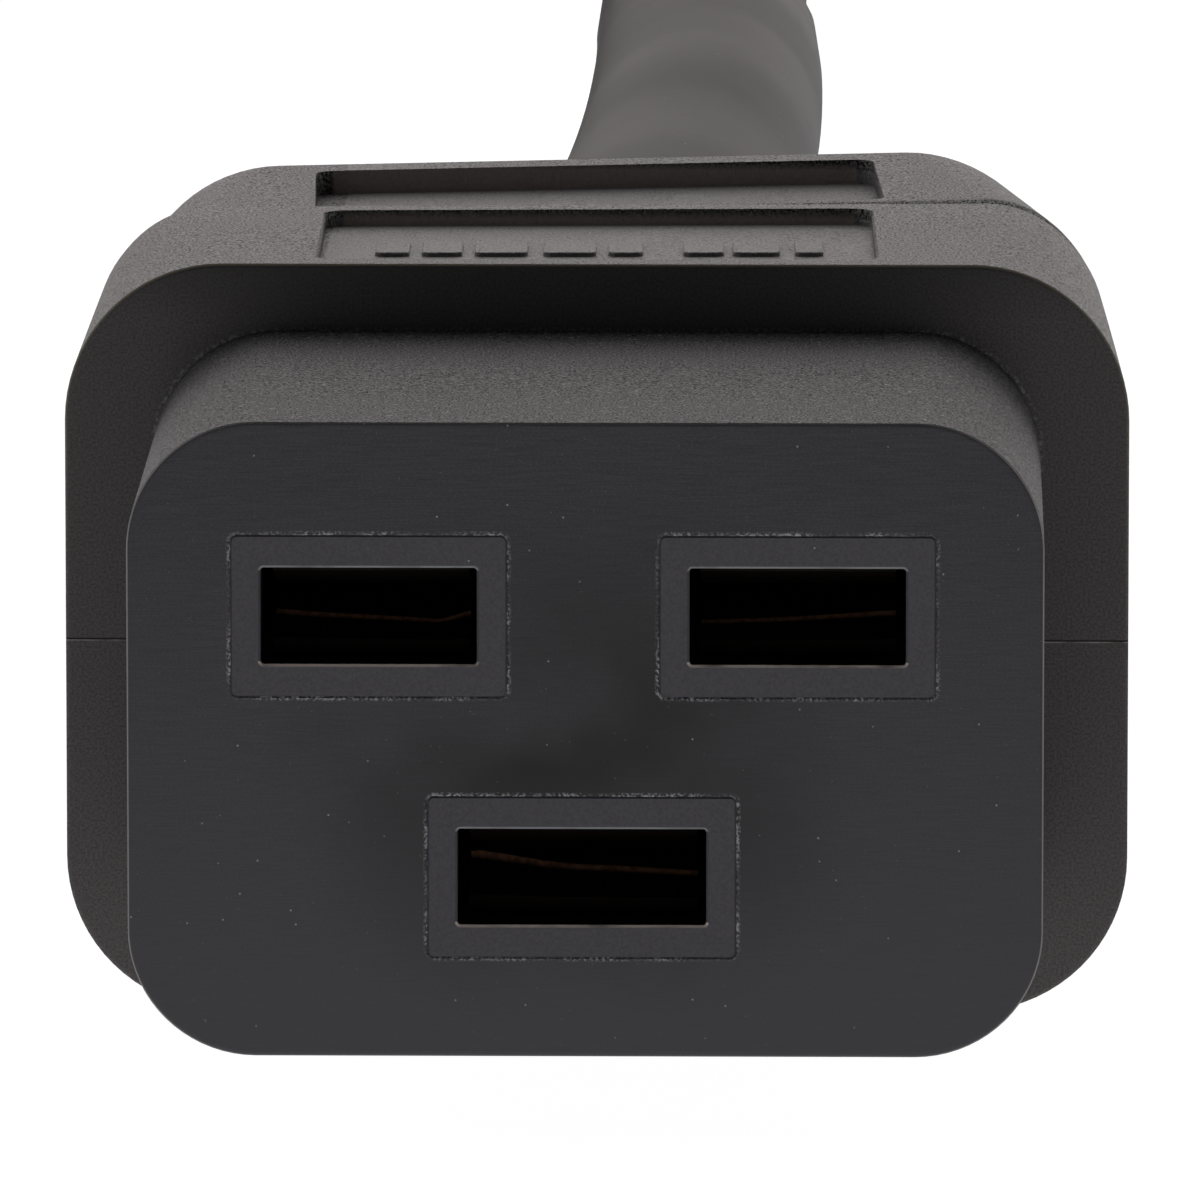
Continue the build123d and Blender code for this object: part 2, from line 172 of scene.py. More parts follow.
cord_colour = (0.042, 0.04, 0.04)
cord_scuffed_colour = (0.052, 0.05, 0.05)
cord_dust_colour = (0.3, 0.3, 0.3)


def eased(angle, turn):
    """0 before the turn's first angle, 1 after its last, and a smooth S between them."""
    share = min(max((angle - turn[0]) / (turn[1] - turn[0]), 0.0), 1.0)
    return share * share * (3 - 2 * share)


for angle in range(coil_first, coil_last + 1, coil_step):
    shift = 0.5 - eased(angle, inward_turn) + eased(angle, outward_turn)
    turn_radius = coil_radius + cord_width * shift
    x = coil_centre[0] + turn_radius * math.cos(math.radians(angle))
    y = coil_centre[1] + turn_radius * math.sin(math.radians(angle))
    cord_route.append((x, y, lying_height + cord_width * eased(angle, upward_turn)))
last_turn = math.radians(coil_last)
plug_heading = (-math.sin(last_turn), math.cos(last_turn))
lead_from = (
    coil_centre[0] + (coil_radius + cord_width / 2) * math.cos(last_turn),
    coil_centre[1] + (coil_radius + cord_width / 2) * math.sin(last_turn),
)
for run, drop in lead_runs:
    x, y = (start + ahead * run * mm for start, ahead in zip(lead_from, plug_heading))
    cord_route.append((x, y, lying_height + cord_width + drop * mm))

cord_curve = bpy.data.curves.new("cord", "CURVE")
cord_curve.dimensions = "3D"
cord_line = cord_curve.splines.new("NURBS")
cord_line.points.add(len(cord_route) - 1)
for point, spot in zip(cord_line.points, cord_route):
    point.co = (*spot, 1.0)
cord_line.order_u = 3
cord_line.use_endpoint_u = True
cord_curve.resolution_u = 8
cord_curve.bevel_depth = cord_width / 2
cord_curve.bevel_resolution = 8
cord_curve.use_fill_caps = True
cord = placed("cord", cord_curve)


def cloud(tree, place, size, stretch=(1.0, 1.0, 1.0), detail=2.0, turn=0.0):
    """Cloudy pattern from 0 to 1. Its blobs are about one size across, drawn out by the stretch."""
    mapping = tree.nodes.new("ShaderNodeMapping")
    mapping.inputs["Scale"].default_value = [1.0 / (size * share) for share in stretch]
    if turn:
        turned = tree.nodes.new("ShaderNodeMapping")
        turned.inputs["Rotation"].default_value = (0.0, 0.0, turn)
        tree.links.new(place, turned.inputs["Vector"])
        place = turned.outputs[0]
    tree.links.new(place, mapping.inputs["Vector"])
    pattern = tree.nodes.new("ShaderNodeTexNoise")
    pattern.inputs["Scale"].default_value = 1.0
    pattern.inputs["Detail"].default_value = detail
    tree.links.new(mapping.outputs[0], pattern.inputs["Vector"])
    return pattern.outputs["Fac"]


def math_of(tree, operation, first, second=0.0):
    """One sum on two values, each a socket or a plain number."""
    step = tree.nodes.new("ShaderNodeMath")
    step.operation = operation
    for socket, value in zip(step.inputs, (first, second)):
        if isinstance(value, (int, float)):
            socket.default_value = value
        else:
            tree.links.new(value, socket)
    return step.outputs[0]


def both(tree, share, *others):
    """Product of shares: 1 only where every one of them is 1."""
    for other in others:
        share = math_of(tree, "MULTIPLY", share, other)
    return share


def tint(tree, share, first, second):
    """A colour that goes from the first to the second as the share goes from 0 to 1."""
    mix = tree.nodes.new("ShaderNodeMix")
    mix.data_type = "RGBA"
    tree.links.new(share, mix.inputs[0])
    for socket, colour in ((mix.inputs[6], first), (mix.inputs[7], second)):
        if isinstance(colour, tuple):
            socket.default_value = (*colour, 1.0)
        else:
            tree.links.new(colour, socket)
    return mix.outputs[2]


def painted(tree, shader, tone, *coats):
    """Puts a tone on the shader, under coats of colour that each cover a share of it."""
    for share, colour in coats:
        tone = tint(tree, share, tone, colour)
    tree.links.new(tone, shader.inputs["Base Color"])


def relief(tree, shader, heights):
    """Fine height patterns, each with its own depth, laid one over another on the surface."""
    normal = None
    for height, depth in heights:
        bump = tree.nodes.new("ShaderNodeBump")
        bump.inputs["Strength"].default_value = 1.0
        bump.inputs["Distance"].default_value = depth
        tree.links.new(height, bump.inputs["Height"])
        if normal:
            tree.links.new(normal, bump.inputs["Normal"])
        normal = bump.outputs["Normal"]
    tree.links.new(normal, shader.inputs["Normal"])


def dust(tree, place, spacing, size, share):
    """1 on small grains of dust, 0 elsewhere: the middle of some cells of a scattered pattern."""
    mapping = tree.nodes.new("ShaderNodeMapping")
    mapping.inputs["Scale"].default_value = (1.0 / spacing,) * 3
    tree.links.new(place, mapping.inputs["Vector"])
    cells = tree.nodes.new("ShaderNodeTexVoronoi")
    cells.inputs["Scale"].default_value = 1.0
    tree.links.new(mapping.outputs[0], cells.inputs["Vector"])
    parts = tree.nodes.new("ShaderNodeSeparateColor")
    tree.links.new(cells.outputs["Color"], parts.inputs[0])
    near = span(tree, cells.outputs["Distance"], 0.4 * size / spacing, size / spacing, 1.0, 0.0)
    chosen = math_of(tree, "GREATER_THAN", parts.outputs[0], 1.0 - share)
    return both(tree, near, chosen, parts.outputs[1])


cord_finish, tree, shader, place = finish("cord_jacket", cord_colour, 0.5, 0.05)
peel = cloud(tree, place, 0.35 * mm)
scuff = cloud(tree, place, 14.0 * mm)
relief(tree, shader, [(peel, 0.012 * mm)])
tree.links.new(span(tree, scuff, 0.35, 0.7, 0.48, 0.54), shader.inputs["Roughness"])
tone = tint(tree, span(tree, scuff, 0.45, 0.75), cord_colour, cord_scuffed_colour)
specks = dust(tree, place, 0.9 * mm, 0.06 * mm, 0.25)
painted(tree, shader, tone, (specks, cord_dust_colour))
cord_curve.materials.append(cord_finish)
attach(cord, "root")
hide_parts("cord_run", "cord_coil")

# Cores and strands: the insulated conductors fan out from the cut jacket, inside the mouldings, to
# the crimps, and their copper strands are pressed together there. Black, white and green, as
# cords of this kind have them.
core_colours = {
    "line": (0.012, 0.012, 0.012),
    "neutral": (0.7, 0.7, 0.67),
    "earth": (0.03, 0.22, 0.06),
}
core_shade = 0.75
copper_colour = (0.72, 0.36, 0.2)
copper_shade_colour = (0.5, 0.2, 0.1)


def coloured(node, material):
    """Gives its material to a solid that stays as it was packed."""
    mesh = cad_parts[node].data
    mesh.materials.clear()
    mesh.materials.append(material)


copper_finish, tree, shader, place = finish("copper_strands", copper_colour, 0.35, metal=1.0)
lay = cloud(tree, place, 0.12 * mm, (1.0, 14.0, 1.0))
relief(tree, shader, [(lay, 0.05 * mm)])
painted(tree, shader, tint(tree, lay, copper_colour, copper_shade_colour))
for pole, core_colour in core_colours.items():
    core_finish, tree, shader, place = finish(f"{pole}_insulation", core_colour, 0.35)
    relief(tree, shader, [(cloud(tree, place, 0.4 * mm), 0.006 * mm)])
    shade = tuple(core_shade * part for part in core_colour)
    cloudy = cloud(tree, place, 3.0 * mm)
    painted(tree, shader, tint(tree, cloudy, core_colour, shade))
    for end in ("", "plug_"):
        coloured(f"{end}{pole}_core", core_finish)
        coloured(f"{end}{pole}_strands", copper_finish)

# Contacts: sprung strips of copper alloy, folded so that they grip an inlet's blade, with a neck
# and a crimp. They sit deep in the slots, painted nearly black with shade and clouded with tarnish,
# and all that shows is the ridge of the lower leaf, rubbed bare and painted bright as a highlight,
# as a faint brown line that isn't quite straight.
face_y = -49.0 * mm
poles = {  # each one's place across and up from the axis, and its slot's width
    "line": (-6.58 * mm, 3.82 * mm, 6.58 * mm),
    "neutral": (6.46 * mm, 3.82 * mm, 6.58 * mm),
    "earth": (-0.1 * mm, -4.2 * mm, 7.58 * mm),
}
strip_thick = 0.45 * mm
strip_aside = 0.3 * mm
strip_back = 18.8
strip_path = np.array(  # depth behind the face and height over the slot's middle, in mm
    [
        (2.7, 1.25), (5.0, 0.55), (16.8, 1.45), (strip_back, 1.45),
        (strip_back, -1.45), (16.8, -1.45), (5.0, -0.55), (2.7, -1.25),
    ]
)
lower_ridge = [6, 9]
lower_tip = [7, 8]
tip_share = 0.15
ridge_bends = {  # places across the slot, from -0.5 to 0.5, and the ridge's shift up, in mm
    "line": ([-0.5, -0.26, 0.19, 0.4, 0.5], [-0.2, -0.32, -0.46, -0.56, -0.12]),
    "neutral": ([-0.5, 0.0, 0.5], [-0.54, -0.42, -0.2]),
    "earth": ([-0.5, -0.1, 0.15, 0.5], [0.38, -0.1, -0.16, -0.32]),
}
bend_neighbours = 3
neck_wide = 2.6 * mm
neck_drop = -1.275 * mm
neck_end = 26.0
crimp_rows = [  # depth behind the face and radius, in mm: out along the crimp and back inside it
    (24.0, 1.5), (31.0, 1.5), (32.5, 2.2), (35.0, 2.2),
    (35.0, 1.75), (32.5, 1.75), (31.0, 1.05), (24.0, 1.05),
]
shaded_bronze_colour = (0.007, 0.0045, 0.0035)
shaded_tarnish_colour = (0.012, 0.007, 0.005)
rubbed_ridge_highlight_colour = (1.0, 0.52, 0.32)


def form(name, points, closed_round=False):
    """Object over a grid of points whose rows are rings. Its ends are flat faces, or they meet."""
    rows, columns = points.shape[:2]
    index = np.arange(rows * columns).reshape(rows, columns)
    here = index if closed_round else index[:-1]
    there = np.roll(index, -1, axis=0) if closed_round else index[1:]
    quads = np.stack([here, there, np.roll(there, -1, axis=1), np.roll(here, -1, axis=1)], axis=-1)
    faces = quads.reshape(-1, 4).tolist()
    if not closed_round:
        faces += [index[0].tolist(), index[-1, ::-1].tolist()]
    mesh = bpy.data.meshes.new(name)
    mesh.from_pydata(points.reshape(-1, 3).tolist(), [], faces)
    return placed(name, mesh)


def worked(piece, operation, tools):
    """Cuts each tool's closed form out of the piece, or joins it. The tools are used up."""
    for tool in tools:
        step = piece.modifiers.new("step", "BOOLEAN")
        step.operation = operation
        step.solver = "EXACT"
        step.object = tool
    bpy.context.view_layer.update()
    solid = bpy.data.meshes.new_from_object(
        piece.evaluated_get(bpy.context.evaluated_depsgraph_get())
    )
    solid.name = piece.name
    piece.modifiers.clear()
    piece.data = solid
    for tool in tools:
        bpy.data.objects.remove(tool)


def dressed(piece, material, slot, *nodes, sharp=32):
    """Gives a finished piece its material and smooth shading, and puts it in its nodes' place."""
    piece.data.materials.clear()
    piece.data.materials.append(material)
    piece.data.shade_smooth()
    piece.data.set_sharp_from_angle(angle=math.radians(sharp))
    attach(piece, "root")
    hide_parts(*nodes)


def strip_form(pole, across, up, slot_wide):
    """Folded strip: its side view, carried across the slot.

    Each corner of the path gets a point half a thickness away on either side, along the mitre of
    its two runs. The lower ridge's two points also move up or down by the bend at their place
    across, and the lower tip's two by a share of it. The bend is averaged over its neighbours.
    """
    path = strip_path * mm
    runs = np.diff(path, axis=0)
    normals = np.stack([-runs[:, 1], runs[:, 0]], axis=-1) / np.linalg.norm(runs, axis=1)[:, None]
    before, after = normals[[0, *range(len(runs))]], normals[[*range(len(runs)), -1]]
    mitre = (before + after) / (1 + np.sum(before * after, axis=1))[:, None] * strip_thick / 2
    outline = np.concatenate([path + mitre, (path - mitre)[::-1]])
    moved = np.zeros(len(outline))
    moved[lower_ridge] = 1.0
    moved[lower_tip] = tip_share
    share = np.linspace(-0.5, 0.5, 33)[:, None]
    bend = np.pad(np.interp(share[:, 0], *ridge_bends[pole]), bend_neighbours, mode="edge")
    window = 2 * bend_neighbours + 1
    bend = np.convolve(bend, np.ones(window) / window, mode="valid")[:, None] * mm
    wide = slot_wide - 2 * strip_aside
    points = [
        across + share * wide + 0 * moved,
        face_y + 0 * share + outline[:, 0],
        axis_height + up + outline[:, 1] + bend * moved,
    ]
    return form(f"{pole}_contact_strip", np.stack(points, axis=-1))


def near_to(tree, value, level, full, none):
    """1 where the value is up to one distance from the level, and 0 from the other distance on."""
    away = math_of(tree, "ABSOLUTE", math_of(tree, "SUBTRACT", value, level))
    return span(tree, away, full, none, 1.0, 0.0)


bronze_finish, tree, shader, place = finish("contact_bronze", shaded_bronze_colour, 0.5, 0.2)
axes = axes_of(tree, place)
ridge = near_to(tree, axes["Y"], face_y + strip_path[1, 0] * mm, 0.14 * mm, 0.46 * mm)
level = math_of(tree, "SUBTRACT", axes["Z"], axis_height)
upper_pole = math_of(tree, "GREATER_THAN", level, 0.0)
below_upper = math_of(tree, "LESS_THAN", level, poles["line"][1])
below_earth = math_of(tree, "LESS_THAN", level, poles["earth"][1])
lower_leaf = math_of(tree, "MAXIMUM", both(tree, upper_pole, below_upper), below_earth)
tarnish = cloud(tree, place, 0.5 * mm, (0.4, 1.0, 1.0), 3.0)
# Partly rubbed metal, partly painted highlight: the lower leaf's ridge is made bright copper.
rubbed_and_highlit = both(tree, ridge, lower_leaf, span(tree, tarnish, 0.3, 0.6, 0.4, 1.0))
# Painted shade: the bronze is made nearly black, as it looks deep in the slots, and clouded with
# tarnish.
shaded_tone = tint(tree, tarnish, shaded_bronze_colour, shaded_tarnish_colour)
painted(tree, shader, shaded_tone, (rubbed_and_highlit, rubbed_ridge_highlight_colour))
relief(tree, shader, [(tarnish, 0.01 * mm)])

for pole, (across, up, slot_wide) in poles.items():
    contact = strip_form(pole, across, up, slot_wide)
    turn = np.linspace(0.0, 2 * np.pi, 32, endpoint=False)
    crimp_depths, crimp_radii = np.array(crimp_rows).T[:, :, None] * mm
    crimp = np.stack(
        [
            across + crimp_radii * np.cos(turn),
            face_y + crimp_depths + 0 * turn,
            axis_height + up + crimp_radii * np.sin(turn),
        ],
        axis=-1,
    )
    neck_depths = np.array([[strip_back], [neck_end]]) * mm
    neck_sides = np.array([1.0, -1.0, -1.0, 1.0]) * neck_wide / 2
    neck_lifts = np.array([1.0, 1.0, -1.0, -1.0]) * strip_thick / 2
    neck = np.stack(
        [
            across + neck_sides + 0 * neck_depths,
            face_y + neck_depths + 0 * neck_sides,
            axis_height + up + neck_drop + neck_lifts + 0 * neck_depths,
        ],
        axis=-1,
    )
    worked(contact, "UNION", [form("neck", neck), form("crimp", crimp, closed_round=True)])
    dressed(contact, bronze_finish, "contact_bronze", f"{pole}_contact")

# Inserts: hard black tubes around the contacts. Each has its slot in a thin front wall that is
# flush with the mating face, and a fine gap runs around it where the nose was moulded to it.
slot_high = 2.96 * mm
slot_corner = 0.1 * mm
slot_bevel = 0.07 * mm
insert_wall = 0.91 * mm
insert_high = 4.95 * mm
insert_corner = 0.2 * mm
insert_long = 27.0 * mm
front_wall = 1.6 * mm
chamber_high = 3.9 * mm
chamber_wall = 0.6 * mm
gap_bevel = 0.05 * mm
hold = 0.1 * mm  # a cut's overshoot, and the flat beside an edge that keeps its shading flat
insert_colour = (0.042, 0.0395, 0.046)
insert_light_colour = (0.058, 0.054, 0.064)
insert_dust_colour = (0.3, 0.3, 0.32)
slot_shade_colour = (0.006, 0.005, 0.005)
slot_rim_highlights = ((-1.0, (0.6, 0.52, 0.47)), (1.0, (0.16, 0.165, 0.175)))


def rounded_rings(half_wide, half_high, corner, steps=18):
    """Rounded rectangles, one for each station: an array of stations by points by two.

    A corner's points are its centre + corner radius * (cos t, sin t), t over a quarter turn, with
    one more point on the flat at each end, so that the flats shade flat.
    """
    quarter = np.linspace(0.0, np.pi / 2, steps + 1)
    flats = (half_high - corner, half_wide - corner)
    parts = []
    for index, (side, up) in enumerate(((1, 1), (-1, 1), (-1, -1), (1, -1))):
        angle = quarter + index * np.pi / 2
        ray = np.stack([np.cos(angle), np.sin(angle)], axis=-1)
        ahead = np.stack([-np.sin(angle), np.cos(angle)], axis=-1)
        centre = np.stack([side * flats[1], up * flats[0]], axis=-1)
        arc = centre[:, None, :] + corner[:, None, None] * ray
        before = np.minimum(hold, 0.4 * flats[index % 2])[:, None, None] * ahead[0]
        after = np.minimum(hold, 0.4 * flats[(index + 1) % 2])[:, None, None] * ahead[-1]
        parts += [arc[:, :1] - before, arc, arc[:, -1:] + after]
    return np.concatenate(parts, axis=1)


def stations(rows):
    """Rows of place, width, height, corner radius and inset, made into rings and their places."""
    place, wide, high, corner, inset = np.array(rows, float).T
    rings = rounded_rings(wide / 2 - inset, high / 2 - inset, corner - inset)
    return rings, place


def along_y(rows, centre=(0.0, axis_height)):
    """Rounded rectangles in X and Z, each at its own place along Y."""
    rings, place = stations(rows)
    depth = np.broadcast_to(place[:, None], rings.shape[:2])
    return np.stack([rings[..., 0] + centre[0], depth, rings[..., 1] + centre[1]], axis=-1)


def edge(start, radius, steps=4):
    """Quarter-round edge as pairs: how far along from the start, and how far in from the side."""
    turn = np.linspace(0.0, np.pi / 2, steps + 1)
    return list(zip(start + radius * (1 - np.cos(turn)), radius * (1 - np.sin(turn))))


def from_outline(tree, place, centre, half_wide, half_high, corner):
    """Distance from a rounded rectangle in X and Z: over 0 outside it, under 0 inside."""
    axes = axes_of(tree, place)
    over = []
    for socket, middle, half in (("X", centre[0], half_wide), ("Z", centre[1], half_high)):
        aside = math_of(tree, "ABSOLUTE", math_of(tree, "SUBTRACT", axes[socket], middle))
        over.append(math_of(tree, "SUBTRACT", aside, half - corner))
    squares = [
        math_of(tree, "POWER", math_of(tree, "MAXIMUM", value, 0.0), 2.0) for value in over
    ]
    outside = math_of(tree, "SQRT", math_of(tree, "ADD", *squares))
    inside = math_of(tree, "MINIMUM", math_of(tree, "MAXIMUM", *over), 0.0)
    return math_of(tree, "SUBTRACT", math_of(tree, "ADD", outside, inside), corner)


def opposite(tree, share):
    """1 where the share is 0, and 0 where it is 1."""
    return math_of(tree, "SUBTRACT", 1.0, share)


def insert_outline(slot_wide):
    """Width, height and corner radius of an insert."""
    return slot_wide + 2 * insert_wall, insert_high, insert_corner


insert_finish, tree, shader, place = finish("insert_plastic", insert_colour, 0.55, 0.35)
axes = axes_of(tree, place)
brushed = cloud(tree, place, 0.05 * mm, (40.0, 1.0, 1.0))
relief(tree, shader, [(brushed, 0.0015 * mm), (cloud(tree, place, 0.25 * mm), 0.004 * mm)])
fine = cloud(tree, place, 0.08 * mm, detail=1.0)
tone = tint(tree, span(tree, fine, 0.3, 0.7), insert_colour, insert_light_colour)
inside = span(tree, axes["Y"], face_y + 0.06 * mm, face_y + 0.09 * mm)
patchy = span(tree, cloud(tree, place, 0.6 * mm, (2.0, 1.0, 1.0)), 0.25, 0.5, 0.3, 1.0)
for across, up, slot_wide in poles.values():
    centre = (across, axis_height + up)
    away = from_outline(tree, place, centre, slot_wide / 2, slot_high / 2, slot_corner)
    within = span(tree, away, 0.0, 0.02 * mm, 1.0, 0.0)
    # Painted shade: inside each slot, behind the face, the insert is made nearly black.
    tone = tint(tree, both(tree, within, inside), tone, slot_shade_colour)
    # Painted highlights along each slot's edges: warm and bright along the lower edge, dim along
    # the upper, broken up by a cloud.
    rim_highlight = both(tree, near_to(tree, away, 0.0, 0.05 * mm, 0.09 * mm), opposite(tree, inside))
    for lift, rim_highlight_colour in slot_rim_highlights:
        lit = near_to(tree, axes["Z"], centre[1] + lift * slot_high / 2, 0.06 * mm, 0.1 * mm)
        tone = tint(tree, both(tree, rim_highlight, lit, patchy), tone, rim_highlight_colour)
painted(tree, shader, tone, (dust(tree, place, 0.5 * mm, 0.035 * mm, 0.35), insert_dust_colour))

for pole, (across, up, slot_wide) in poles.items():
    centre = (across, axis_height + up)
    outline = insert_outline(slot_wide)
    rows = [(face_y, *outline, gap_bevel + hold), (face_y, *outline, gap_bevel)]
    rows += [(face_y + y, *outline, 0.0) for y in (gap_bevel, gap_bevel + hold, insert_long)]
    insert = form(f"{pole}_insert_shell", along_y(rows, centre))
    slot_outline = (slot_wide, slot_high, slot_corner)
    slot_rows = [
        (face_y - hold, *slot_outline, -slot_bevel - hold),
        (face_y + slot_bevel, *slot_outline, 0.0),
        (face_y + front_wall + hold, *slot_outline, 0.0),
    ]
    chamber_wide = slot_wide + 2 * (insert_wall - chamber_wall)
    chamber_rows = [
        (face_y + y, chamber_wide, chamber_high, slot_corner, 0.0)
        for y in (front_wall, insert_long + hold)
    ]
    slot = form("slot", along_y(slot_rows, centre))
    chamber = form("chamber", along_y(chamber_rows, centre))
    worked(insert, "DIFFERENCE", [slot, chamber])
    dressed(insert, insert_finish, "insert_plastic", f"{pole}_insert")

# Nose: a hard black moulding with the shape that an inlet takes, and a ribbed root that holds the
# grip. Its sides have the grain of a spark-eroded mould, and its face was trimmed flat, with fine
# lines across it and dust on it.
nose_long = 21.0 * mm
nose_wide = 27.9 * mm
nose_high = 19.5 * mm
nose_corner = 3.9 * mm
nose_draft = 0.24 * mm
nose_edge = 0.09 * mm
root_long = 10.0 * mm
root_inset = 1.5 * mm
root_corner = 2.6 * mm
rib_inset = 0.6 * mm
rib_long = 2.0 * mm
nose_face_colour = (0.016, 0.015, 0.0175)
nose_combed_colour = (0.041, 0.0388, 0.0449)
nose_lined_colour = (0.056, 0.0535, 0.06)
nose_lit_low_colour = (0.056, 0.0525, 0.058)
nose_blotch_colour = (0.009, 0.0088, 0.0095)
nose_side_colour = (0.012, 0.0115, 0.0125)
nose_side_light_colour = (0.095, 0.091, 0.096)
nose_glint_colour = (0.2, 0.2, 0.21)
nose_crumb_colour = (0.34, 0.34, 0.36)
nose_rim_highlight_colour = (0.24, 0.235, 0.23)
nose_dust_colour = (0.28, 0.28, 0.3)
nose_fine_dust_colour = (0.15, 0.148, 0.155)
nose_corner_dust_colour = (0.6, 0.6, 0.62)

flange_y = face_y + nose_long
root_end = flange_y + root_long
rib_start = flange_y + root_long / 2


def nose_section(y, inset=0.0):
    """The nose's width, height and corner grow evenly from its face to the flange, by its draft."""
    grown = nose_draft * (y - face_y) / nose_long
    return (y, nose_wide + grown, nose_high + grown, nose_corner + grown / 2, inset)


def root_rows(start, end):
    """The root's plain bar with its rib, for the nose and for the grip's pocket around it."""
    wide, high = nose_wide - 2 * root_inset, nose_high - 2 * root_inset
    rib = 2 * (root_inset - rib_inset)
    bar, ribbed = (wide, high, root_corner, 0.0), (wide + rib, high + rib, root_corner, 0.0)
    rib_end = rib_start + rib_long
    return [
        (start, *bar), (rib_start, *bar), (rib_start, *ribbed),
        (rib_end, *ribbed), (rib_end, *bar), (end, *bar),
    ]


rows = [nose_section(face_y, nose_edge + hold)]
rows += [nose_section(y, inset) for y, inset in edge(face_y, nose_edge)]
rows += [nose_section(y) for y in (face_y + nose_edge + hold, flange_y - hold, flange_y)]
nose = form("nose_shell", along_y(rows + root_rows(flange_y, root_end)))
pockets = []
for across, up, slot_wide in poles.values():
    outline = insert_outline(slot_wide)
    pocket_rows = [
        (face_y - hold, *outline, -gap_bevel - hold),
        (face_y + gap_bevel, *outline, 0.0),
        (face_y + insert_long, *outline, 0.0),
    ]
    pockets.append(form("pocket", along_y(pocket_rows, (across, axis_height + up))))
worked(nose, "DIFFERENCE", pockets)

nose_finish, tree, shader, place = finish("nose_plastic", nose_face_colour, 0.5, 0.3)
axes = axes_of(tree, place)
side = span(tree, axes["Y"], face_y + 0.02 * mm, face_y + 0.1 * mm)
trimmed = opposite(tree, side)
brushed = cloud(tree, place, 0.045 * mm, (50.0, 1.0, 1.0))
combed = cloud(tree, place, 0.045 * mm, (30.0, 1.0, 1.0))
lined = cloud(tree, place, 0.05 * mm, (1.6, 1.0, 1.0), 1.0)
grain = cloud(tree, place, 0.14 * mm, detail=1.0)
pits = cloud(tree, place, 0.4 * mm)
relief(
    tree,
    shader,
    [
        (both(tree, brushed, trimmed), 0.003 * mm),
        (both(tree, grain, side), 0.05 * mm),
        (both(tree, pits, side), 0.03 * mm),
    ],
)
combed = span(tree, combed, 0.35, 0.65, 0.25, 0.75)
face_tone = tint(tree, combed, nose_face_colour, nose_combed_colour)
face_tone = tint(tree, span(tree, lined, 0.5, 0.7, 0.0, 0.6), face_tone, nose_lined_colour)
# Painted light: the face is made lighter towards the bottom.
low = span(tree, axes["Z"], axis_height + 8.0 * mm, axis_height - 8.0 * mm, 0.0, 0.7)
face_tone = tint(tree, low, face_tone, nose_lit_low_colour)
away = from_outline(tree, place, (0.0, axis_height - 0.5 * mm), 4.0 * mm, 2.5 * mm, 2.4 * mm)
blotch = span(tree, away, -2.0 * mm, 6.0 * mm, 1.0, 0.0)
blotch = both(tree, blotch, span(tree, cloud(tree, place, 5.0 * mm), 0.25, 0.6))
face_tone = tint(tree, blotch, face_tone, nose_blotch_colour)
fine = cloud(tree, place, 0.07 * mm, detail=1.0)
side_tone = tint(tree, span(tree, fine, 0.35, 0.7), nose_side_colour, nose_side_light_colour)
side_tone = tint(tree, span(tree, grain, 0.6, 0.74), side_tone, nose_glint_colour)
joints = []
for across, up, slot_wide in poles.values():
    wide, high, corner = insert_outline(slot_wide)
    away = from_outline(tree, place, (across, axis_height + up), wide / 2, high / 2, corner)
    joints.append(near_to(tree, away, 0.0, 0.04 * mm, 0.15 * mm))
joints = math_of(tree, "MAXIMUM", math_of(tree, "MAXIMUM", *joints[:2]), joints[2])
crumbs = span(tree, cloud(tree, place, 0.1 * mm, detail=3.0), 0.46, 0.6)
patches = span(tree, cloud(tree, place, 1.3 * mm, detail=3.0), 0.42, 0.6, 0.15, 1.0)
# Painted highlight: a thin light line along the face's outer edge, strongest at the sides.
away = from_outline(tree, place, (0.0, axis_height), nose_wide / 2, nose_high / 2, nose_corner)
rim_highlight = both(
    tree,
    span(tree, away, -0.06 * mm, -0.03 * mm),
    span(tree, axes["Y"], face_y + 0.05 * mm, face_y + 0.08 * mm, 1.0, 0.0),
    span(tree, math_of(tree, "ABSOLUTE", axes["X"]), 10.0 * mm, 13.0 * mm, 0.25, 1.0),
)
gathered = span(tree, axes["Y"], flange_y - 5.0 * mm, flange_y - 0.5 * mm)
corner_dust = both(tree, dust(tree, place, 0.36 * mm, 0.08 * mm, 0.6), gathered, side)
painted(
    tree,
    shader,
    tint(tree, side, face_tone, side_tone),
    (both(tree, crumbs, patches, joints, trimmed), nose_crumb_colour),
    (rim_highlight, nose_rim_highlight_colour),
    (dust(tree, place, 0.55 * mm, 0.04 * mm, 0.35), nose_dust_colour),
    (dust(tree, place, 0.33 * mm, 0.028 * mm, 0.45), nose_fine_dust_colour),
    (corner_dust, nose_corner_dust_colour),
)
glints = both(tree, span(tree, fine, 0.35, 0.65, 0.0, 0.5), side)
gloss = math_of(tree, "ADD", glints, both(tree, trimmed, 0.3))
tree.links.new(gloss, shader.inputs["Specular IOR Level"])
tree.links.new(span(tree, side, 0.0, 1.0, 0.5, 0.56), shader.inputs["Roughness"])
dressed(nose, nose_finish, "nose_plastic", "nose_moulding")

